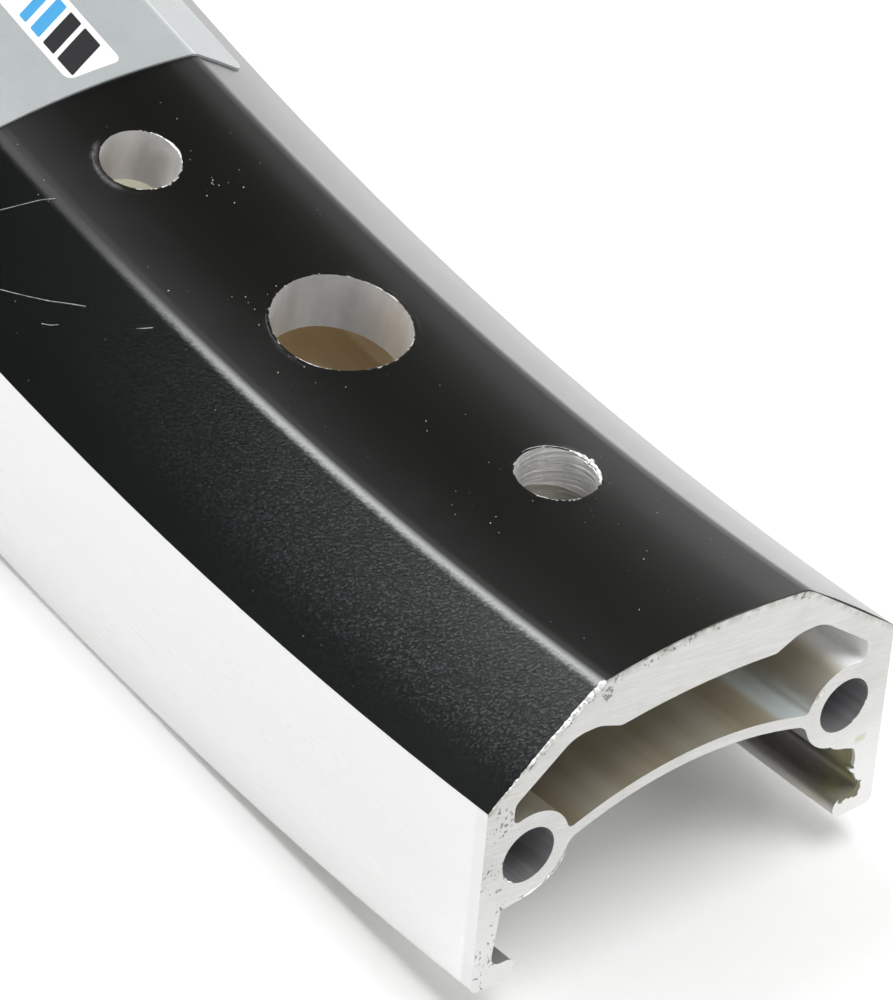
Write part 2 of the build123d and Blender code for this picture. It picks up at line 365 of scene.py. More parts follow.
def coat_material():
    """Satin black coat: smooth bed, leathery shoulders with a painted reflection towards the near end, a worn
    left corner with a painted highlight, a painted highlight on the far hole's lip, chips at the holes.
    """
    material, tree, shader, place = new_material("black_coat")
    spot, along_bed, across = place["Unrolled"], place["Along"], place["Across"]
    side = calc(tree, "ABSOLUTE", across)
    mouth = use(tree, MOUTH)["Mouth"]
    shoulder = ramp(tree, side, *SHOULDER_STARTS)
    leather = streaks(tree, LEATHER_CELL, roughness=0.65, turn=LEATHER_TURN)
    ripple = calc(tree, "SUBTRACT", leather, 0.5)
    grain = noise(tree, spot, scale=6.0, detail=2.0)
    cloud = noise(tree, spot, scale=0.35, detail=2.0)

    colour = blend(tree, shoulder, BED_BLACK, SHOULDER_BLACK)
    textured = times(tree, shoulder, ramp(tree, side, *LEATHER_FADES_DOWN))
    textured = times(tree, textured, ramp(tree, along_bed, *LEATHER_FADES_FAR))
    # Leathery flecks with a painted reflection: they grow towards the near end, where the shoulder catches a
    # reflection
    flecks_and_sheen = times(tree, textured, ramp(tree, leather, *FLECK_LEVELS))
    flecks_and_sheen = times(tree, flecks_and_sheen, ramp(tree, along_bed, *FLECK_SHEEN_FADES_FAR), FLECK_AND_SHEEN_SHARE)
    colour = blend(tree, flecks_and_sheen, colour, LEATHER_FLECK_AND_SHEEN)

    # Worn left corner with a painted highlight: a grainy grey band that grows brighter towards the near end
    fringe = plus(tree, across, ripple, WEAR_AND_HIGHLIGHT_FRINGE)
    wear_and_highlight = times(tree, ramp(tree, fringe, *WEAR_AND_HIGHLIGHT_OUTSIDE), ramp(tree, across, *WEAR_AND_HIGHLIGHT_INSIDE))
    wear_and_highlight = times(tree, wear_and_highlight, ramp(tree, along_bed, *WEAR_AND_HIGHLIGHT_ALONG), ramp(tree, grain, *WEAR_AND_HIGHLIGHT_GRAIN))
    colour = blend(tree, wear_and_highlight, colour, WEAR_AND_HIGHLIGHT_GREY)

    ragged = plus(tree, CHIP_INSET, noise(tree, spot, scale=2.2, roughness=0.6), CHIP_REACH)
    chip = ramp(tree, calc(tree, "SUBTRACT", mouth, ragged), *CHIP_EDGE)
    colour = blend(tree, chip, colour, CHIPPED_BARE)
    # Painted highlight: a lighter grey crescent on the coat's raised lip left of the far spoke hole
    lip_highlight = times(tree, near(tree, mouth, *LIP_HIGHLIGHT_RING), near(tree, along_bed, *LIP_HIGHLIGHT_ALONG))
    lip_highlight = times(tree, lip_highlight, ramp(tree, across, *LIP_HIGHLIGHT_LEFT))
    lip_highlight = times(tree, lip_highlight, ramp(tree, noise(tree, spot, scale=1.8), *LIP_HIGHLIGHT_CLOUDS), LIP_HIGHLIGHT_SHARE)
    colour = blend(tree, lip_highlight, colour, LIP_HIGHLIGHT_GREY)

    lip = ramp(tree, noise(tree, spot, scale=0.9), *LIP_CLOUDS)
    lip = times(tree, lip, near(tree, mouth, *LIP_RING))
    height = plus(tree, times(tree, ripple, textured), grain, GRAIN_RISE)
    height = plus(tree, height, lip, LIP_RISE)

    left_corner = near(tree, across, *LEFT_CORNER)
    right_corner = ramp(tree, across, *RIGHT_CORNER_STARTS)
    right_corner = times(tree, right_corner, ramp(tree, across, *RIGHT_CORNER_ENDS))
    right_corner = times(tree, right_corner, ramp(tree, along_bed, *RIGHT_CORNER_FADES))
    rough = ramp(tree, cloud, *BED_ROUGHNESS)
    rough = plus(tree, rough, shoulder, SMOOTHER_SHOULDER)
    rough = plus(tree, rough, left_corner, ROUGHER_LEFT)
    rough = plus(tree, rough, right_corner, ROUGHER_RIGHT)
    rough = plus(tree, rough, chip, ROUGHER_CHIP)
    glaze = ramp(tree, calc(tree, "MAXIMUM", left_corner, right_corner), *GLAZE_AT_CORNERS)
    glaze = times(tree, glaze, ramp(tree, shoulder, *GLAZE_FROM_BED))
    shade(tree, shader, Base_Color=colour, Metallic=chip, Roughness=rough, Coat_Weight=glaze)
    shade(tree, shader, Normal=bump(tree, height, COAT_RELIEF))
    shade(tree, shader, IOR=1.5, Coat_Roughness=0.24, Coat_IOR=1.2)
    return material


# Brake track
TURNED_LINES = (30.0, 0.6, 0.1)
TURNED_ROUGHNESS = (0.3, 0.7, 0.27, 0.33)
TURNED_RELIEF = 0.012
TRACK_FOOT_PAINTED_LIGHT = (0.80, 0.80, 0.80)
TRACK_GREY = (0.735, 0.74, 0.74)
FOOT_LIGHT_HEIGHTS = (0.5, 7.0)
FILED_GREY = (0.70, 0.70, 0.705)
FILED_BAND = (0.7, 1.0, 1.0, 0.0)


def track_material():
    """Brake track, turned bare and bright, with fine turning lines, painted light towards its foot, and a
    filed band at the near cut.
    """
    material, tree, shader, place = new_material("brake_track")
    lines = streaks(tree, TURNED_LINES, roughness=0.7)
    # Painted light: paler towards the foot, lifting the floor's shade that the track reflects low down
    colour = blend(tree, ramp(tree, place["Height"], *FOOT_LIGHT_HEIGHTS), TRACK_FOOT_PAINTED_LIGHT, TRACK_GREY)
    colour = blend(tree, ramp(tree, place["Cut"], *FILED_BAND), colour, FILED_GREY)
    rough = ramp(tree, lines, *TURNED_ROUGHNESS)
    shade(tree, shader, Base_Color=colour, Roughness=rough, Metallic=1.0)
    shade(tree, shader, Normal=bump(tree, lines, TURNED_RELIEF))
    return material


# Sawn aluminium
SAWN_GREY = (0.595, 0.595, 0.58)
SAWN_PALE = (0.655, 0.655, 0.645)
SAWN_DULL = (0.55, 0.535, 0.505)
SAWN_PALER_LOW = (0.80, 0.80, 0.79)
EDGE_DIRT = (0.30, 0.29, 0.24)
PIT_DARK = (0.085, 0.08, 0.07)
COAT_EDGE = (0.012, 0.012, 0.010)
STAIN_YELLOW = (0.48, 0.48, 0.28)
TORN_PAINTED_SHADE = (0.17, 0.165, 0.10)
SAW_MARKS = (1.0, 3.2, 0.16)
SAW_TURN = (-9, 0, 0)
SAW_LEVELS = (0.3, 0.7)
DULL_CLOUDS = (0.45, 0.75, 0.0, 0.4)
NEAR_FACE = (1.0, 3.0, 1.0, 0.0)
PALER_LOW_HEIGHTS = (1.5, 10.0, 0.9, 0.0)
OUTLINE_LIFT = 0.1
OUTLINE_ROUNDING = 0.5
PITTED_DEPTH = (0.35, 1.2, 1.0, 0.0)
PITTED_LESS_RIGHT = (7.5, 9.0, 1.0, 0.35)
PITTED_LEFT_WALL = (-HALF_WIDTH + 1.5, -HALF_WIDTH + 2.3, 1.0, 0.0)
LEFT_WALL_SHARE = 0.85
PITTED_CORNER = (-6.75, 17.3)
PITTED_CORNER_REACH = (0.32, 0.70, 1.2, 0.0)
PIT_CLUSTERS = (0.36, 0.56)
PIT_LIMIT = 0.86
PIT_LIMIT_DROP = -0.32
PIT_EDGE = (-0.02, 0.05)
PIT_SHARE = 0.72
DIRT_DEPTH = (0.15, 0.75, 0.5, 0.0)
DIRT_CLOUDS = (0.38, 0.62)
COAT_EDGE_DEPTH = (0.08, 0.16, 1.0, 0.0)
COAT_EDGE_RIGHT = (-4.0, 4.0, 0.35, 0.95)
STAIN_ACROSS = (13.0, 0.2, 0.4)
STAIN_HEIGHT = (5.3, 0.08, 0.3)
STAIN_SHARE = 0.5
JAG_REACH = 0.7
TORN_ACROSS = (12.75, 0.75, 0.08)
TORN_HEIGHT = (1.5, 0.45, 0.08)
CRYSTAL_RISE = 0.35
PIT_SINK = -0.8
SAWN_RELIEF = 0.04
SAWN_METAL = (0.0, 1.0, 0.85, 0.3)


def depth_in_face(tree, place):
    """How deep a point of a sawn face lies under the coated outline, in millimetres."""
    side = calc(tree, "ABSOLUTE", place["Across"])
    bed = plus(tree, BED_TOP_HEIGHT, times(tree, side, side), -BED_CROWN / HALF_BED ** 2)
    peak = TRACK_HEIGHT + HALF_WIDTH * SHOULDER_SLOPE + OUTLINE_LIFT
    outline = calc(tree, "SMOOTH_MIN", bed, plus(tree, peak, side, -SHOULDER_SLOPE), OUTLINE_ROUNDING)
    return calc(tree, "SUBTRACT", outline, place["Height"])


def pitted_zone(tree, place, depth, near_face):
    """Where a sawn face is pitted: by its outer edges, and thickly at the bed's left corner."""
    across, height = place["Across"], place["Height"]
    edges = times(tree, ramp(tree, depth, *PITTED_DEPTH), ramp(tree, across, *PITTED_LESS_RIGHT))
    left_wall = times(tree, ramp(tree, across, *PITTED_LEFT_WALL), LEFT_WALL_SHARE)
    zone = calc(tree, "MAXIMUM", edges, left_wall)
    clusters = noise(tree, place["Unrolled"], scale=0.9, detail=2.0)
    zone = times(tree, zone, ramp(tree, clusters, *PIT_CLUSTERS))
    corner_off = [calc(tree, "SUBTRACT", *pair) for pair in zip((across, height), PITTED_CORNER)]
    corner = ramp(tree, diagonal(tree, *corner_off), *PITTED_CORNER_REACH)
    return calc(tree, "MAXIMUM", zone, times(tree, near_face, corner))


def sawn_material():
    """Sawn aluminium: faint saw marks, dark pits near the outer edges and the coat's cut line, paler towards
    the near face's foot, and painted shade in a torn notch on the right flange.
    """
    material, tree, shader, place = new_material("sawn_aluminium")
    spot, across, height = place["Unrolled"], place["Across"], place["Height"]
    near_face = ramp(tree, place["Cut"], *NEAR_FACE)
    depth = depth_in_face(tree, place)
    marks = streaks(tree, SAW_MARKS, roughness=0.6, turn=SAW_TURN)
    colour = blend(tree, ramp(tree, marks, *SAW_LEVELS), SAWN_GREY, SAWN_PALE)
    dull = ramp(tree, noise(tree, spot, scale=0.5, detail=2.0), *DULL_CLOUDS)
    colour = blend(tree, dull, colour, SAWN_DULL)
    # The near face is paler towards its foot
    paler_low = times(tree, near_face, ramp(tree, height, *PALER_LOW_HEIGHTS))
    colour = blend(tree, paler_low, colour, SAWN_PALER_LOW)

    limit = plus(tree, PIT_LIMIT, pitted_zone(tree, place, depth, near_face), PIT_LIMIT_DROP)
    pits = calc(tree, "SUBTRACT", noise(tree, spot, scale=4.2, detail=2.0, roughness=0.5), limit)
    pits = ramp(tree, pits, *PIT_EDGE)
    dirt = ramp(tree, noise(tree, spot, scale=1.6), *DIRT_CLOUDS)
    dirt = times(tree, ramp(tree, depth, *DIRT_DEPTH), dirt)
    colour = blend(tree, dirt, colour, EDGE_DIRT)
    colour = blend(tree, times(tree, pits, PIT_SHARE), colour, PIT_DARK)
    coat_edge = ramp(tree, depth, *COAT_EDGE_DEPTH)
    coat_edge = times(tree, coat_edge, ramp(tree, across, *COAT_EDGE_RIGHT))
    colour = blend(tree, coat_edge, colour, COAT_EDGE)

    stain = times(tree, near(tree, across, *STAIN_ACROSS), near(tree, height, *STAIN_HEIGHT))
    colour = blend(tree, times(tree, stain, near_face, STAIN_SHARE), colour, STAIN_YELLOW)
    # Painted shade: a jagged dark olive notch low on the right flange's torn edge
    jag = plus(tree, -JAG_REACH / 2, noise(tree, spot, scale=2.5), JAG_REACH)
    torn = near(tree, calc(tree, "ADD", across, jag), *TORN_ACROSS)
    torn = times(tree, torn, near(tree, calc(tree, "ADD", height, jag), *TORN_HEIGHT))
    colour = blend(tree, times(tree, torn, near_face), colour, TORN_PAINTED_SHADE)

    relief = plus(tree, marks, noise(tree, spot, scale=9.0, detail=2.0), CRYSTAL_RISE)
    relief = plus(tree, relief, pits, PIT_SINK)
    shade(tree, shader, Base_Color=colour, Roughness=0.5, Metallic=ramp(tree, pits, *SAWN_METAL))
    shade(tree, shader, Normal=bump(tree, relief, SAWN_RELIEF))
    return material


# Drilled hole walls
DRILL_RINGS = (7.0, 7.0, 0.16)
DRILL_TURN = (4, -6, 0)
WALL_BANDS = (1.3, 1.3, 9.0)
WALL_SMEARS_AND_HIGHLIGHTS = (1.1, 1.1, 0.6)
RINGED_ALONG = (8.0, 11.0, 0.15, 0.7)
RINGED_ACROSS = (0.5, 4.0, 0.5, 1.0)
WALL_GREY = (0.87, 0.865, 0.86)
WALL_PALE = (0.99, 0.99, 1.0)
WALL_LEVELS = (0.32, 0.68)
SMEAR_HIGHLIGHT_WHITE = (1.0, 1.0, 1.0)
SMEAR_HIGHLIGHT_LEVELS = (0.55, 0.75, 0.0, 0.5)
SMEAR_RISE = 0.35
DULL_TOP = 16.55
DULL_TILT = -0.12
DULL_EDGE = (-0.05, 0.05, 1.0, 0.0)
DULL_ALONG = (10.0, 10.5)
DULL_ABOVE = (11.5, 12.0)
DULL_SHARE = 0.75
DULL_BROWN = (0.30, 0.28, 0.22)
DRILLED_RELIEF = 0.15


def drilled_material():
    """Hole walls, bare, with rings left by the drill, smears with painted highlights, and a duller band low
    in the near spoke hole.
    """
    material, tree, shader, place = new_material("drilled_aluminium")
    along_bed, across, height = place["Along"], place["Across"], place["Height"]
    rings = streaks(tree, DRILL_RINGS, roughness=0.6, turn=DRILL_TURN)
    bands = streaks(tree, WALL_BANDS, detail=2.0, roughness=0.5)
    smears_and_highlights = streaks(tree, WALL_SMEARS_AND_HIGHLIGHTS, detail=2.0, roughness=0.5)
    ringed = times(tree, ramp(tree, along_bed, *RINGED_ALONG), ramp(tree, across, *RINGED_ACROSS))
    tone = plus(tree, bands, calc(tree, "SUBTRACT", rings, 0.5), ringed)
    colour = blend(tree, ramp(tree, tone, *WALL_LEVELS), WALL_GREY, WALL_PALE)
    # Smeared metal with painted highlights: white where the smears are strongest
    colour = blend(tree, ramp(tree, smears_and_highlights, *SMEAR_HIGHLIGHT_LEVELS), colour, SMEAR_HIGHLIGHT_WHITE)
    dull = calc(tree, "SUBTRACT", height, plus(tree, DULL_TOP, across, DULL_TILT))
    dull = times(tree, ramp(tree, dull, *DULL_EDGE), ramp(tree, along_bed, *DULL_ALONG))
    dull = times(tree, dull, ramp(tree, height, *DULL_ABOVE), DULL_SHARE)
    colour = blend(tree, dull, colour, DULL_BROWN)
    relief = plus(tree, times(tree, rings, ringed), smears_and_highlights, SMEAR_RISE)
    shade(tree, shader, Base_Color=colour, Roughness=0.42, Metallic=0.8)
    shade(tree, shader, Normal=bump(tree, relief, DRILLED_RELIEF))
    return material


# Chamber wall
CHAMBER_LINES = (60.0, 1.1, 1.1)
CHAMBER_BROAD = (25.0, 3.2, 3.2)
CHAMBER_BROWN = (0.43, 0.37, 0.26)
CHAMBER_GREY = (0.54, 0.53, 0.46)
BROAD_LEVELS = (0.36, 0.64)
CHAMBER_DRAWN = (0.70, 0.66, 0.57)
DRAWN_LEVELS = (0.40, 0.70, 0.0, 0.35)
CHAMBER_RIGHT_LIGHT = (0.80, 0.75, 0.66)
RIGHT_LIGHT_ACROSS = (3.0, 9.0, 0.0, 0.6)
PALE_STREAK = (0.86, 0.94, 0.97)
PALE_ACROSS = (7.6, 0.7, 0.9)
PALE_BELOW = (11.0, 12.2, 1.0, 0.0)
STREAK_LIGHT_FROM_CUT = (0.0, 16.0, 1.0, 0.3)
SIDE_WALL_HIGHLIGHT = (0.98, 0.99, 1.0)
SIDE_WALL_ACROSS = (10.2, 11.6)
CHAMBER_LEFT_SHADE = (0.22, 0.19, 0.14)
LEFT_SHADE_ACROSS = (-12.0, -6.0, 0.35, 0.0)
GOLD_DEEP = (0.86, 0.71, 0.49)
GOLD_PALE = (1.0, 0.89, 0.69)
GOLDEN_ALONG = (-5.0, 6.0, 4.0)
FAR_PAINTED_LIGHT = (0.96, 0.95, 0.88)
FAR_LIGHT_ALONG = (-15.0, -18.0)
CHAMBER_METAL = 0.75
GOLDEN_DULLER = -0.6
SIDE_WALL_DULLER = -0.5
CHAMBER_RELIEF = 0.04


def chamber_material():
    """The chamber's wall as extruded: brownish grey, drawn along, golden in the middle, with painted light
    towards the right and the cuts, and painted shade on the left.
    """
    material, tree, shader, place = new_material("chamber_wall")
    along_bed, across = place["Along"], place["Across"]
    lines = streaks(tree, CHAMBER_LINES, detail=2.0, roughness=0.5)
    broad = streaks(tree, CHAMBER_BROAD, detail=1.0, roughness=0.5)
    golden = near(tree, along_bed, *GOLDEN_ALONG)
    side_wall = ramp(tree, across, *SIDE_WALL_ACROSS)
    colour = blend(tree, ramp(tree, broad, *BROAD_LEVELS), CHAMBER_BROWN, CHAMBER_GREY)
    colour = blend(tree, ramp(tree, lines, *DRAWN_LEVELS), colour, CHAMBER_DRAWN)
    # Painted light: paler towards the right
    colour = blend(tree, ramp(tree, across, *RIGHT_LIGHT_ACROSS), colour, CHAMBER_RIGHT_LIGHT)
    # A pale bluish streak low on the right, with painted light: brightest by the open near cut
    pale = times(tree, near(tree, across, *PALE_ACROSS), ramp(tree, place["Height"], *PALE_BELOW))
    pale = times(tree, pale, ramp(tree, place["Cut"], *STREAK_LIGHT_FROM_CUT))
    colour = blend(tree, pale, colour, PALE_STREAK)
    # Painted highlight: nearly white on the right side wall
    colour = blend(tree, side_wall, colour, SIDE_WALL_HIGHLIGHT)
    # Painted shade: darker towards the left
    colour = blend(tree, ramp(tree, across, *LEFT_SHADE_ACROSS), colour, CHAMBER_LEFT_SHADE)
    colour = blend(tree, golden, colour, blend(tree, lines, GOLD_DEEP, GOLD_PALE))
    # Painted light: paler towards the far cut, where light comes into the chamber
    colour = blend(tree, ramp(tree, along_bed, *FAR_LIGHT_ALONG), colour, FAR_PAINTED_LIGHT)
    metal = plus(tree, CHAMBER_METAL, golden, GOLDEN_DULLER)
    metal = plus(tree, metal, side_wall, SIDE_WALL_DULLER)
    shade(tree, shader, Base_Color=colour, Roughness=0.42, Metallic=metal)
    shade(tree, shader, Normal=bump(tree, lines, CHAMBER_RELIEF))
    return material


# Pin bores and tyre channel
EXTRUDED_LEVELS = (0.35, 0.68)
EXTRUDED_RELIEF = 0.05
BORE_LINES = (60.0, 0.5, 0.5)
BORE_GREY = (0.50, 0.50, 0.51)
BORE_PALE = (0.66, 0.66, 0.68)
CHANNEL_LINES = (60.0, 0.7, 0.7)
CHANNEL_SHADED_GREY = (0.18, 0.175, 0.165)
CHANNEL_SHADED_PALE = (0.31, 0.30, 0.285)
HOOK_PAINTED_LIGHT = (0.72, 0.71, 0.68)
HOOK_LIGHT_BELOW = (1.2, 2.2, 0.8, 0.0)
CHANNEL_STAIN = (0.50, 0.48, 0.26)
STAINED_FROM_CUT = (0.5, 4.5, 1.0, 0.0)
STAINED_ACROSS = (8.0, 11.0)
STAINED_HEIGHT = (2.8, 1.0, 1.8)
STAINED_CLOUDS = (0.35, 0.6, 0.2, 0.9)


def bore_material():
    """The pin bores' wall as extruded."""
    material, tree, shader, _ = new_material("pin_bore_wall")
    lines = streaks(tree, BORE_LINES)
    colour = blend(tree, ramp(tree, lines, *EXTRUDED_LEVELS), BORE_GREY, BORE_PALE)
    shade(tree, shader, Base_Color=colour, Roughness=0.4, Metallic=0.85)
    shade(tree, shader, Normal=bump(tree, lines, EXTRUDED_RELIEF))
    return material


def channel_material():
    """The tyre channel's wall as extruded, darkened with painted shade and lighter low by the hooks with
    painted light, with a yellowish stain by the near cut on the right.
    """
    material, tree, shader, place = new_material("channel_wall")
    height = place["Height"]
    lines = streaks(tree, CHANNEL_LINES)
    # Painted shade: the wall's greys are darkened as if in shade
    colour = blend(tree, ramp(tree, lines, *EXTRUDED_LEVELS), CHANNEL_SHADED_GREY, CHANNEL_SHADED_PALE)
    # Painted light: paler low by the hooks, where the floor's light reaches
    colour = blend(tree, ramp(tree, height, *HOOK_LIGHT_BELOW), colour, HOOK_PAINTED_LIGHT)
    stain = ramp(tree, noise(tree, place["Unrolled"], scale=0.7), *STAINED_CLOUDS)
    stain = times(tree, stain, ramp(tree, place["Cut"], *STAINED_FROM_CUT))
    stain = times(tree, stain, ramp(tree, place["Across"], *STAINED_ACROSS))
    stain = times(tree, stain, near(tree, height, *STAINED_HEIGHT))
    colour = blend(tree, stain, colour, CHANNEL_STAIN)
    shade(tree, shader, Base_Color=colour, Roughness=0.42, Metallic=0.8)
    shade(tree, shader, Normal=bump(tree, lines, EXTRUDED_RELIEF))
    return material


# Film of the label, and its panel of bars: distance back from the panel's front, half length, ink
FILM_GREY = (0.29, 0.31, 0.315)
FILM_PALE = (0.35, 0.37, 0.375)
FILM_GRAIN = (0.6, 0.62, 0.63)
FILM_GRAIN_LEVELS = (0.4, 0.7, 0.0, 0.12)
FILM_RELIEF = 0.004
CREASE_HIGHLIGHT = (0.85, 0.86, 0.86)
CREASE_HIGHLIGHT_ACROSS = (HALF_BED + 0.08, 0.03, 0.12)
CREASE_HIGHLIGHT_SHARE = 0.22
PANEL_WHITE = (0.80, 0.81, 0.82)
PANEL_MIDDLE = (-26.9, 0.55)
PANEL_HALF = (3.9, 2.0)
PANEL_CORNER = 0.55
BLACK_INK = (0.016, 0.016, 0.018)
BLUE_INK = (0.055, 0.30, 0.58)
BAR_MARGIN = 0.45
BAR_CORNER = 0.12
BAR_SLANT = 0.45
INK_EDGE = (-0.03, 0.03, 1.0, 0.0)
PANEL_BARS = [
    (1.65, 0.80, BLACK_INK),
    (3.35, 0.55, BLACK_INK),
    (4.75, 0.45, BLUE_INK),
    (6.0, 0.35, BLUE_INK),
]


def bar_mask(tree, place, middle, half, corner, slant=0.0):
    """1 inside a round-cornered bar on the film, placed by its middle along and across."""
    lean = plus(tree, place["Along"], place["Across"], slant)
    sides = [(lean, middle[0] + slant * middle[1], half[0]), (place["Across"], middle[1], half[1])]
    gaps = []
    for value, centre, reach in sides:
        gap = calc(tree, "SUBTRACT", apart(tree, value, centre), reach - corner)
        gaps.append(calc(tree, "MAXIMUM", gap, 0.0))
    return ramp(tree, calc(tree, "SUBTRACT", diagonal(tree, *gaps), corner), *INK_EDGE)


def label_material():
    """Silver film with a white-edged panel of plain slanted bars, and a painted highlight along its fold at
    the bed's right corner.
    """
    material, tree, shader, place = new_material("silver_film")
    cloud = noise(tree, place["Unrolled"], scale=0.4, detail=2.0)
    grain = noise(tree, place["Unrolled"], scale=14.0, detail=2.0)
    colour = blend(tree, cloud, FILM_GREY, FILM_PALE)
    colour = blend(tree, ramp(tree, grain, *FILM_GRAIN_LEVELS), colour, FILM_GRAIN)
    # Painted highlight: a pale line along the film's fold over the bed's right corner
    crease_highlight = times(tree, near(tree, place["Across"], *CREASE_HIGHLIGHT_ACROSS), CREASE_HIGHLIGHT_SHARE)
    colour = blend(tree, crease_highlight, colour, CREASE_HIGHLIGHT)
    panel_here = bar_mask(tree, place, PANEL_MIDDLE, PANEL_HALF, PANEL_CORNER)
    colour = blend(tree, panel_here, colour, PANEL_WHITE)
    for back, half_length, ink in PANEL_BARS:
        middle = (PANEL_MIDDLE[0] + PANEL_HALF[0] - back, PANEL_MIDDLE[1])
        half = (half_length, PANEL_HALF[1] - BAR_MARGIN)
        colour = blend(tree, bar_mask(tree, place, middle, half, BAR_CORNER, BAR_SLANT), colour, ink)
    shade(tree, shader, Base_Color=colour, Roughness=0.38)
    shade(tree, shader, Normal=bump(tree, grain, FILM_RELIEF))
    return material


# Burrs and dust
BURR_GREY = (0.62, 0.61, 0.60)
BURR_BRIGHT = (0.92, 0.92, 0.91)
BURR_LEVELS = (0.35, 0.65)
BURR_ROUGHNESS = (0.3, 0.7, 0.30, 0.45)
DUST_GREY = (0.30, 0.30, 0.29)
DUST_PALE = (0.72, 0.71, 0.69)
DUST_LEVELS = (0.3, 0.7)


def burr_material():
    """Bright torn aluminium of the saw's and drill's burrs."""
    material, tree, shader, place = new_material("bright_burr")
    tone = noise(tree, place["Unrolled"], scale=5.0, detail=2.0)
    colour = blend(tree, ramp(tree, tone, *BURR_LEVELS), BURR_GREY, BURR_BRIGHT)
    rough = ramp(tree, tone, *BURR_ROUGHNESS)
    shade(tree, shader, Base_Color=colour, Roughness=rough, Metallic=0.85)
    return material


def dust_material():
    """Pale dust and lint."""
    material, tree, shader, place = new_material("pale_dust")
    tone = noise(tree, place["Unrolled"], scale=3.0, detail=1.0)
    colour = blend(tree, ramp(tree, tone, *DUST_LEVELS), DUST_GREY, DUST_PALE)
    shade(tree, shader, Base_Color=colour, Roughness=0.8)
    return material


COAT, TRACK, SAWN, DRILLED, CHAMBER, BORE, CHANNEL = range(7)
materials = [
    coat_material(),
    track_material(),
    sawn_material(),
    drilled_material(),
    chamber_material(),
    bore_material(),
    channel_material(),
]


# Rim and label: copies of the CAD nodes with a material for each kind of surface
ON_FACE = 0.02
ON_BORE = 0.05
ON_HOLE = 0.04
ON_SHOULDER = 0.2
SQUARE_ON = 0.99
SQUARE_OFF = 0.1
FACING_UP = 0.5
LEANING_UP = 0.3
BRIDGE_REACH = 1.5
BED_SIDE = 0.5
HOOK_FOOT = 0.5
MERGE_DISTANCE = 2e-6
SHARP_ANGLE = 25


def placed(name, data):
    """A new object in the scene."""
    made = bpy.data.objects.new(name, data)
    bpy.context.scene.collection.objects.link(made)
    return made


def make_plain(made):
    """Turns an object and its modifiers into a plain mesh."""
    bpy.context.view_layer.update()
    evaluated = made.evaluated_get(bpy.context.evaluated_depsgraph_get())
    plain = bpy.data.meshes.new_from_object(evaluated)
    made.modifiers.clear()
    made.data = plain


def on_hole_wall(point, normal, holes):
    """Whether a face lies on the wall of one of these holes."""
    for angle, across, radius in holes:
        arm = point - Vector((0, across, HOOP_RADIUS))
        axis = hubward(angle)
        arm -= axis * arm.dot(axis)
        if abs(arm.length - radius) < ON_HOLE and abs(normal.dot(axis)) < SQUARE_OFF:
            return True
    return False


def on_sawn_face(point, normal, angle):
    """Whether a face lies on the near or the far saw cut."""
    if abs((point - CUT_POINT).dot(CUT_NORMAL)) < ON_FACE and normal.dot(CUT_NORMAL) > SQUARE_ON:
        return True
    far = abs(angle - radians(FAR_ANGLE)) * HOOP_RADIUS < ON_FACE
    return far and normal.dot(along(FAR_ANGLE)) < -SQUARE_ON


def surface_kind(point, normal):
    """Which material a face of the rim has, by where it lies in the section."""
    angle = atan2(point.x, HOOP_RADIUS - point.z)
    height = HOOP_RADIUS - hypot(point.x, HOOP_RADIUS - point.z)
    side = abs(point.y)
    if on_sawn_face(point, normal, angle):
        return SAWN
    above_bridge = height - CHAMBER_FLOOR
    if on_hole_wall(point, normal, BED_HOLES) and above_bridge > BRIDGE_REACH:
        return DRILLED
    if on_hole_wall(point, normal, BRIDGE_HOLES) and above_bridge < BRIDGE_REACH:
        return DRILLED
    off_shoulder = abs(height - TRACK_HEIGHT - (HALF_WIDTH - side) * SHOULDER_SLOPE)
    if height > BED_EDGE_HEIGHT - BED_SIDE or (off_shoulder < ON_SHOULDER and normal.z > FACING_UP):
        return COAT
    if side > HALF_WIDTH - ON_FACE or (height < HOOK_FOOT and side > HALF_WIDTH - HOOK_FOOT):
        return TRACK
    if abs(hypot(side - BOSS_Y, height - BOSS_HEIGHT) - PIN_RADIUS) < ON_BORE:
        return BORE
    if height > BOSS_HEIGHT and normal.z > LEANING_UP or height > CHAMBER_FLOOR:
        return CHAMBER
    return CHANNEL


def dress(name, kinds, kind_of):
    """Puts a smooth-shaded copy in a CAD node's place, with a material for each kind of surface."""
    mesh = bpy.data.meshes.new(name + "_dressed")
    bm = bmesh.new()
    bm.from_mesh(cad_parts[name].data)
    bmesh.ops.remove_doubles(bm, verts=bm.verts, dist=MERGE_DISTANCE)
    for face in bm.faces:
        face.smooth = True
        face.material_index = kind_of(face.calc_center_median() * PER_METRE, face.normal)
    for edge in bm.edges:
        kinds_here = {face.material_index for face in edge.link_faces}
        edge.smooth = len(kinds_here) == 1 and edge.calc_face_angle(0) < radians(SHARP_ANGLE)
    bm.to_mesh(mesh)
    bm.free()
    for material in kinds:
        mesh.materials.append(material)
    made = placed(name + "_dressed", mesh)
    made.modifiers.new("even_normals", "WEIGHTED_NORMAL").keep_sharp = True
    make_plain(made)
    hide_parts(name)
    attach(made, "root")


dress("rim", materials, surface_kind)
dress("label", [label_material()], lambda point, normal: 0)


# Geometry node trees for the burrs, lips, lint and dust
LUMP_SCALE = 3.5
LUMP_DETAIL = 2.0
THINNEST = 0.08
BEAD_SIDES = 6
GRAIN_FORM = ((0.5, 0.5, 0.35), (1.5, 1.0, 0.8))
GRAIN_TURN = ((0.0, 0.0, 0.0), (6.3, 6.3, 6.3))
SHAPE = ("Geometry", "Geometry")


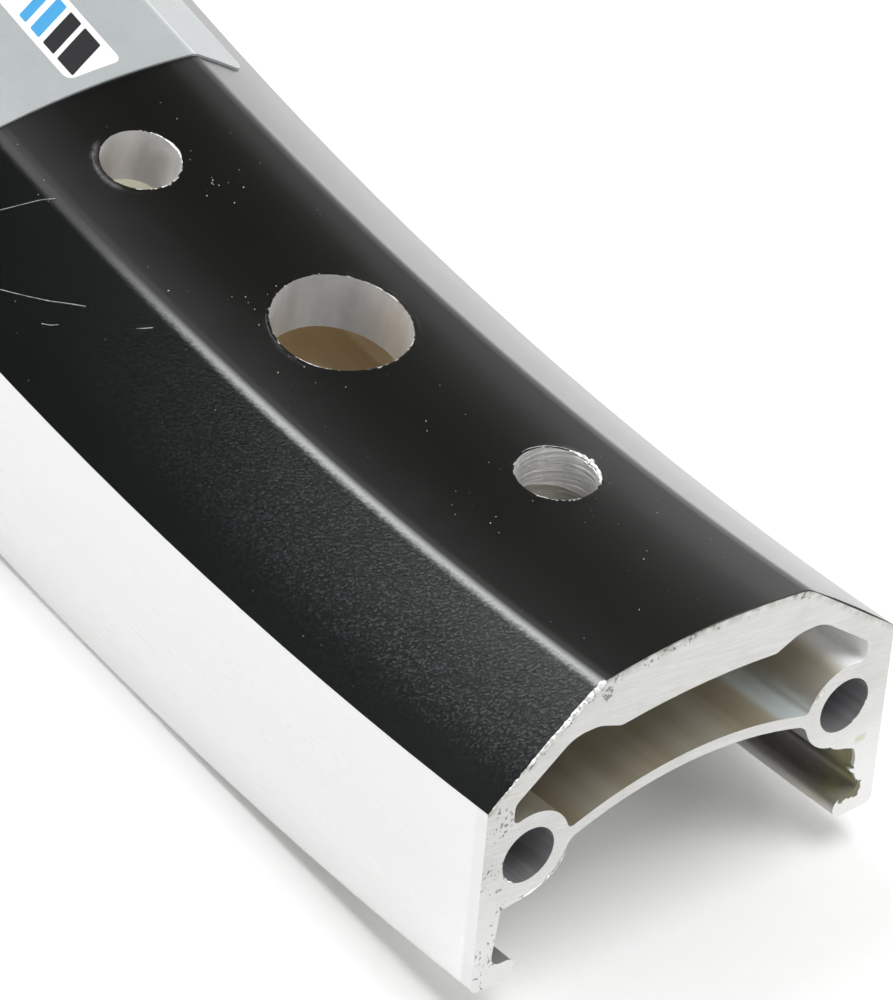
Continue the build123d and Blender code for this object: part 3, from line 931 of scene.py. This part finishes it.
def new_tree(name, inputs):
    """A geometry node tree with these inputs: the tree and its input sockets."""
    tree = bpy.data.node_groups.new(name, "GeometryNodeTree")
    add_sockets(tree, "INPUT", [SHAPE, *inputs])
    add_sockets(tree, "OUTPUT", [SHAPE])
    return tree, tree.nodes.new("NodeGroupInput").outputs


def close_tree(tree, start, geometry):
    """Ends a tree in plain geometry with its finish."""
    plain = node(tree, "GeometryNodeRealizeInstances", {"Geometry": geometry}).outputs[0]
    ins = {"Geometry": plain, "Material": start["Finish"]}
    done = node(tree, "GeometryNodeSetMaterial", ins).outputs[0]
    tree.links.new(done, tree.nodes.new("NodeGroupOutput").inputs[0])
    return tree


def size_attribute(tree):
    """The size that each point of a wire carries."""
    return node(tree, "GeometryNodeInputNamedAttribute", {"Name": "size"}, data_type="FLOAT").outputs[0]


def scaled(tree, vector, factor):
    """A vector times a factor."""
    return put(tree, "VectorMath", {0: vector, "Scale": factor}, operation="SCALE").outputs[0]


def make_bead_tree():
    """A lumpy bead along each line of a wire mesh, as thick as the line's size attribute says."""
    inputs = [(title, "Float") for title in ("Spacing", "Lumps", "Sway", "Seed")]
    tree, start = new_tree("bead_along_lines", [*inputs, ("Finish", "Material")])
    size = size_attribute(tree)
    line = node(tree, "GeometryNodeMeshToCurve", {0: start["Geometry"]}).outputs[0]
    ins = {"Curve": line, "Length": start["Spacing"]}
    line = node(tree, "GeometryNodeResampleCurve", ins, mode="LENGTH").outputs[0]
    here = scaled(tree, node(tree, "GeometryNodeInputPosition").outputs[0], PER_METRE)
    ins = {"Vector": here, "W": start["Seed"], "Scale": LUMP_SCALE, "Detail": LUMP_DETAIL}
    rough = put(tree, "TexNoise", ins, noise_dimensions="4D").outputs
    swell = plus(tree, 1.0, calc(tree, "SUBTRACT", rough[0], 0.5), start["Lumps"])
    thick = times(tree, calc(tree, "MAXIMUM", swell, THINNEST), size)
    shift = put(tree, "VectorMath", {0: rough[1], 1: (0.5, 0.5, 0.5)}, operation="SUBTRACT").outputs[0]
    shift = scaled(tree, shift, times(tree, size, start["Sway"]))
    line = node(tree, "GeometryNodeSetPosition", {"Geometry": line, "Offset": shift}).outputs[0]
    ins = {"Resolution": BEAD_SIDES, "Radius": 1.0}
    ring = node(tree, "GeometryNodeCurvePrimitiveCircle", ins).outputs[0]
    ins = {"Curve": line, "Profile Curve": ring, "Scale": thick, "Fill Caps": True}
    return close_tree(tree, start, node(tree, "GeometryNodeCurveToMesh", ins).outputs[0])


def drawn_vector(tree, limits, seed):
    """A random vector between two limits for each point."""
    ins = {"Min": limits[0], "Max": limits[1], "Seed": seed}
    return node(tree, "FunctionNodeRandomValue", ins, data_type="FLOAT_VECTOR").outputs[0]


def make_dust_tree():
    """A small rough grain on each point of a mesh, as large as the point's size attribute says."""
    tree, start = new_tree("grains_on_points", [("Seed", "Int"), ("Finish", "Material")])
    form = scaled(tree, drawn_vector(tree, GRAIN_FORM, start["Seed"]), size_attribute(tree))
    turn = drawn_vector(tree, GRAIN_TURN, start["Seed"])
    turn = node(tree, "FunctionNodeEulerToRotation", {0: turn}).outputs[0]
    grain = node(tree, "GeometryNodeMeshIcoSphere", {"Radius": 1.0, "Subdivisions": 1}).outputs[0]
    ins = {"Points": start["Geometry"], "Instance": grain, "Rotation": turn, "Scale": form}
    return close_tree(tree, start, node(tree, "GeometryNodeInstanceOnPoints", ins).outputs[0])


def wire(name, lines, joined=True):
    """A wire mesh of lines of (point, size) pairs in millimetres, or its points alone."""
    pairs = [pair for line in lines for pair in line]
    edges = []
    first = 0
    for line in lines:
        edges += [(first + step, first + step + 1) for step in range(len(line) - 1)]
        first += len(line)
    mesh = bpy.data.meshes.new(name)
    mesh.from_pydata([point * MM for point, _ in pairs], edges if joined else [], [])
    sizes = mesh.attributes.new("size", "FLOAT", "POINT")
    for slot, (_, size) in zip(sizes.data, pairs):
        slot.value = size * MM
    return mesh


def grow(name, mesh, tree, values):
    """Runs a geometry node tree on a wire mesh and keeps the result as a plain piece."""
    made = placed(name, mesh)
    growth = made.modifiers.new("growth", "NODES")
    growth.node_group = tree
    for item in tree.interface.items_tree:
        if item.in_out == "INPUT" and item.name in values:
            growth[item.identifier] = values[item.name]
    make_plain(made)
    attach(made, "root")


# Burrs, lips and smeared metal: where they lie
EDGE_SINK = 0.03
TAPERED_END = 0.35
SMEAR_THICKNESS = 0.25
SMEAR_PROUD = 0.012


def edge_line(start, end, start_size, end_size, count=24):
    """A line along the near cut's outer edge between two distances across."""
    line = []
    for step in range(count + 1):
        share = step / count
        across = start + (end - start) * share
        size = start_size + (end_size - start_size) * share
        line.append((cut_point(across, top_height(across) - EDGE_SINK), size))
    return line


def mouth_line(hole, start, end, outset, lift, size, count=30):
    """An arc round a hole's mouth, in degrees from the near end towards the right, thinning to its ends."""
    angle, across, radius = hole
    reach = radius + outset
    line = []
    for step in range(count + 1):
        share = step / count
        turn = radians(start + (end - start) * share)
        point = top_point(bed_distance(angle) + reach * cos(turn), across + reach * sin(turn), lift)
        taper = TAPERED_END + (1 - TAPERED_END) * sin(radians(180 * share))
        line.append((point, size * taper))
    return line


def section_line(corners, size):
    """A line on the near cut through places in the section, across and height."""
    return [(cut_point(across, height), size) for across, height in corners]


def smear(name, corners):
    """A thin plate of metal that the saw has drawn over a corner of the near cut."""
    front = [cut_point(across, height) + CUT_NORMAL * SMEAR_PROUD for across, height in corners]
    back = [point - CUT_NORMAL * SMEAR_THICKNESS for point in front]
    count = len(corners)
    faces = [tuple(range(count)), tuple(range(2 * count - 1, count - 1, -1))]
    for first in range(count):
        second = (first + 1) % count
        faces.append((first, first + count, second + count, second))
    mesh = bpy.data.meshes.new(name)
    mesh.from_pydata([point * MM for point in front + back], [], faces)
    mesh.materials.append(materials[SAWN])
    bm = bmesh.new()
    bm.from_mesh(mesh)
    bmesh.ops.recalc_face_normals(bm, faces=bm.faces)
    bmesh.ops.triangulate(bm, faces=bm.faces)
    bm.to_mesh(mesh)
    bm.free()
    made = placed(name, mesh)
    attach(made, "root")


# Lines of burrs and lips by the edge, the section or the hole that they follow, each with its size
burr_lines = [
    edge_line(-7.1, -8.6, 0.15, 0.13, 12),
    edge_line(-8.6, -11.6, 0.13, 0.07),
    edge_line(-11.4, -14.2, 0.07, 0.04),
    section_line([(-13.62, 2.4), (-13.5, 2.25), (-13.45, 2.1)], 0.09),
    section_line(
        [(-8.6, 7.45), (-8.95, 6.85), (-9.5, 6.25), (-10.2, 5.8), (-11.0, 5.55), (-11.9, 5.4)], 0.05
    ),
    section_line([(-12.95, 7.55), (-12.7, 7.2), (-12.35, 6.95)], 0.06),
    section_line([(12.2, 6.85), (12.6, 7.15), (12.9, 7.6), (13.05, 8.0)], 0.05),
    section_line([(8.92, 9.64), (9.18, 9.88), (9.46, 10.04), (9.73, 10.2)], 0.06),
    mouth_line(NEAR_SPOKE, 38, 122, 0.02, 0.02, 0.16),
    mouth_line(NEAR_SPOKE, 55, 112, -0.05, -0.14, 0.10),
    mouth_line(NEAR_SPOKE, 122, 190, 0.12, 0.04, 0.018),
    mouth_line(NEAR_SPOKE, -85, -40, 0.0, -0.02, 0.035),
    mouth_line(FAR_SPOKE, 55, 130, 0.04, 0.0, 0.075),
    mouth_line(FAR_SPOKE, -60, 40, 0.04, -0.03, 0.045),
    mouth_line(VALVE, 78, 128, 0.02, -0.02, 0.04),
    mouth_line(VALVE, 15, 45, 0.02, -0.02, 0.035),
    mouth_line(VALVE, -90, -45, 0.02, -0.02, 0.03),
]
lip_lines = [
    mouth_line(FAR_SPOKE, -135, -60, 0.34, -0.06, 0.12),
    mouth_line(VALVE, -150, -60, 0.18, -0.04, 0.06),
]
SMEARED_CORNERS = {
    "smeared_metal_right": [
        (11.6, 6.2), (10.6, 5.75), (11.0, 5.4), (11.39, 5.21), (12.0, 5.02), (12.53, 4.77),
        (12.66, 4.62), (12.8, 4.15), (12.84, 3.8), (12.78, 3.45), (12.87, 3.14), (12.48, 3.27),
        (12.62, 3.02), (12.89, 2.81), (13.02, 2.5), (13.15, 2.2), (13.4, 2.2), (13.4, 6.2),
    ],
    "smeared_metal_left": [
        (-13.25, 5.9), (-13.22, 5.3), (-12.88, 5.25), (-12.26, 5.33), (-11.7, 5.42), (-11.7, 5.7),
        (-12.4, 6.0),
    ],
}


# Dust and lint: where they lie, a cluster as distance along, distance across, spread and count
DUST_CLUSTERS = [
    (-12.0, 1.4, 1.0, 9),
    (-3.4, -3.3, 0.9, 6),
    (2.0, -4.2, 0.7, 5),
    (18.0, -3.5, 1.2, 5),
    (-15.0, 1.5, 0.6, 3),
]
CLUSTER_GRAIN = (0.028, 0.060)
CLUSTER_LIFT = 0.02
STRAY_COUNT = 110
STRAY_ALONG = (-21.0, 31.0)
STRAY_ACROSS = (-14.0, 6.5)
STRAY_GRAIN = (0.015, 0.042)
STRAY_LIFT = 0.01
MOUTH_GAP = 0.2
DUST_SEED = 21
LINT_THICKNESS = 0.015
LINT_LIFT = 0.03
LINT = [
    [(-17.9, -9.7), (-17.2, -8.8), (-16.5, -7.9), (-15.9, -7.35)],
    [(-14.2, -12.1), (-12.6, -11.4), (-11.2, -10.75), (-10.2, -10.2), (-9.3, -9.75)],
    [(-10.5, -11.7), (-10.0, -11.45), (-9.7, -11.2)],
    [(-5.9, -8.8), (-5.5, -8.5), (-5.2, -8.25)],
]
lint_lines = [[(top_point(*place, LINT_LIFT), LINT_THICKNESS) for place in line] for line in LINT]


def clear_of_holes(point):
    """Whether a grain lies clear of every hole's mouth."""
    for angle, across, radius in BED_HOLES:
        middle = top_point(bed_distance(angle), across)
        if hypot(point.x - middle.x, point.y - across) <= radius + MOUTH_GAP:
            return False
    return True


def dust_points():
    """Grains in clusters near the holes and thinly all over the bed and the left shoulder."""
    draw = random.Random(DUST_SEED)
    points = []
    for along_bed, across, spread, count in DUST_CLUSTERS:
        for _ in range(count):
            place = (along_bed + draw.gauss(0, spread), across + draw.gauss(0, spread))
            points.append((top_point(*place, CLUSTER_LIFT), draw.uniform(*CLUSTER_GRAIN)))
    for _ in range(STRAY_COUNT):
        place = (draw.uniform(*STRAY_ALONG), draw.uniform(*STRAY_ACROSS))
        points.append((top_point(*place, STRAY_LIFT), draw.uniform(*STRAY_GRAIN)))
    return [(point, size) for point, size in points if clear_of_holes(point)]


# Burrs, lips, lint and dust as pieces
bead_tree = make_bead_tree()
dust = dust_material()
burr_beads = {"Spacing": 0.06 * MM, "Lumps": 3.0, "Sway": 1.2, "Seed": 3.0, "Finish": burr_material()}
lip_beads = {"Spacing": 0.1 * MM, "Lumps": 1.6, "Sway": 0.7, "Seed": 8.0, "Finish": materials[COAT]}
lint_beads = {"Spacing": 0.2 * MM, "Lumps": 0.4, "Sway": 1.0, "Seed": 5.0, "Finish": dust}
grow("edge_burrs", wire("burr_lines", burr_lines), bead_tree, burr_beads)
for name, corners in SMEARED_CORNERS.items():
    smear(name, corners)
grow("coat_lips", wire("lip_lines", lip_lines), bead_tree, lip_beads)
grow("lint", wire("lint_lines", lint_lines), bead_tree, lint_beads)
grains = wire("dust_points", [dust_points()], False)
grow("dust_grains", grains, make_dust_tree(), {"Seed": 4, "Finish": dust})


# Studio, in metres: a panel is its azimuth, elevation, distance, width, height and power
PANELS = {
    "overhead_panel": (5, 78, 0.8, 0.45, 0.45, 4.5),
    "back_panel": (180, 59, 0.8, 0.32, 0.32, 2.15),
    "back_low_panel": (180, 26, 0.7, 0.4, 0.25, 1.3),
    "left_back_panel": (-163, 37, 0.7, 0.2, 0.18, 0.53),
    "left_low_panel": (-110, 16, 0.7, 0.5, 0.2, 1.5),
    "right_panel": (108, 13, 0.7, 0.5, 0.2, 0.85),
    "right_low_panel": (60, 16, 0.7, 0.5, 0.2, 0.6),
    "right_front_panel": (40, 42, 0.8, 0.4, 0.4, 2.1),
}
PANEL_AIM = Vector((0, 0, 0.01))
ROOM_LEVELS = [(0.0, 0.5), (0.12, 0.6), (0.28, 0.85), (0.42, 0.27), (0.56, 0.01), (1.0, 0.01)]
ROOM_WARMTH = 0.99
CARD_HALF = 1.5
CARD_GREY = (0.84, 0.84, 0.835)
CARD_WHITE = (0.87, 0.87, 0.865)
CARD_GLOW = 0.12
CAMERA_LENS = 195.592
CAMERA_SENSOR = 36.0
CAMERA_CLIP = 0.01
CAMERA_RIGHT = (0.629517, 0.761995, 0.151894)
CAMERA_UP = (-0.592113, 0.343895, 0.728792)
CAMERA_BACK = (0.503101, -0.548726, 0.667675)
CAMERA_PLACE = (0.16491986, -0.16693948, 0.21747537)


def card_material():
    """Plain white card, a little brighter to the eye and in reflections than it is lit."""
    material = bpy.data.materials.new("white_card")
    material.use_nodes = True
    tree = material.node_tree
    shader = tree.nodes["Principled BSDF"]
    tone = noise(tree, put(tree, "TexCoord").outputs["Object"], scale=900.0, detail=2.0)
    shade(tree, shader, Base_Color=blend(tree, tone, CARD_GREY, CARD_WHITE), Roughness=0.9)
    shade(tree, shader, Specular_IOR_Level=0.1)
    glow = put(tree, "Emission", {0: (1, 1, 1, 1), 1: 1.0})
    path = put(tree, "LightPath").outputs
    seen = calc(tree, "MAXIMUM", path["Is Camera Ray"], path["Is Glossy Ray"])
    seen = calc(tree, "MAXIMUM", seen, path["Is Transmission Ray"])
    share = times(tree, seen, CARD_GLOW)
    mixed = put(tree, "MixShader", {0: share, 1: shader.outputs[0], 2: glow.outputs[0]})
    tree.links.new(mixed.outputs[0], tree.nodes["Material Output"].inputs["Surface"])
    return material


def make_floor():
    """The white surface that the sample lies on."""
    mesh = bpy.data.meshes.new("floor")
    signs = [(-1, -1), (1, -1), (1, 1), (-1, 1)]
    mesh.from_pydata([(x * CARD_HALF, y * CARD_HALF, 0) for x, y in signs], [], [(0, 1, 2, 3)])
    mesh.materials.append(card_material())
    made = placed("floor", mesh)


def make_world():
    """Soft surroundings, bright near the horizon and dim above."""
    world = bpy.data.worlds.new("studio")
    world.use_nodes = True
    tree = world.node_tree
    tree.nodes.clear()
    aim = put(tree, "TexCoord").outputs["Generated"]
    steps = put(tree, "ValToRGB", {0: put(tree, "SeparateXYZ", {0: aim}).outputs[2]})
    stops = steps.color_ramp.elements
    for index, (position, level) in enumerate(ROOM_LEVELS):
        stop = stops[index] if index < 2 else stops.new(position)
        stop.position = position
        stop.color = (level, level, level * ROOM_WARMTH, 1)
    room = put(tree, "Background", {0: steps.outputs[0], 1: 1.0})
    put(tree, "OutputWorld", {0: room.outputs[0]})
    bpy.context.scene.world = world


def make_panel(name, azimuth, elevation, distance, width, height, power):
    """A soft light panel that faces the sample, azimuth from +X towards +Y."""
    light = bpy.data.lights.new(name, "AREA")
    light.shape = "RECTANGLE"
    light.size = width
    light.size_y = height
    light.energy = power
    made = placed(name, light)
    turn, lift = radians(azimuth), radians(elevation)
    aim = Vector((cos(turn) * cos(lift), sin(turn) * cos(lift), sin(lift)))
    made.location = aim * distance + PANEL_AIM
    made.rotation_euler = aim.to_track_quat("Z", "Y").to_euler()


def make_camera():
    """The camera that the photo was taken with, as measured from it."""
    data = bpy.data.cameras.new("camera")
    data.lens = CAMERA_LENS
    data.sensor_width = CAMERA_SENSOR
    data.clip_start = CAMERA_CLIP
    made = placed("camera", data)
    rows = zip(CAMERA_RIGHT, CAMERA_UP, CAMERA_BACK, CAMERA_PLACE)
    made.matrix_world = Matrix([*rows, (0, 0, 0, 1)])
    bpy.context.scene.camera = made


make_floor()
make_world()
for name, setting in PANELS.items():
    make_panel(name, *setting)
make_camera()
bpy.context.scene.view_settings.view_transform = "Standard"
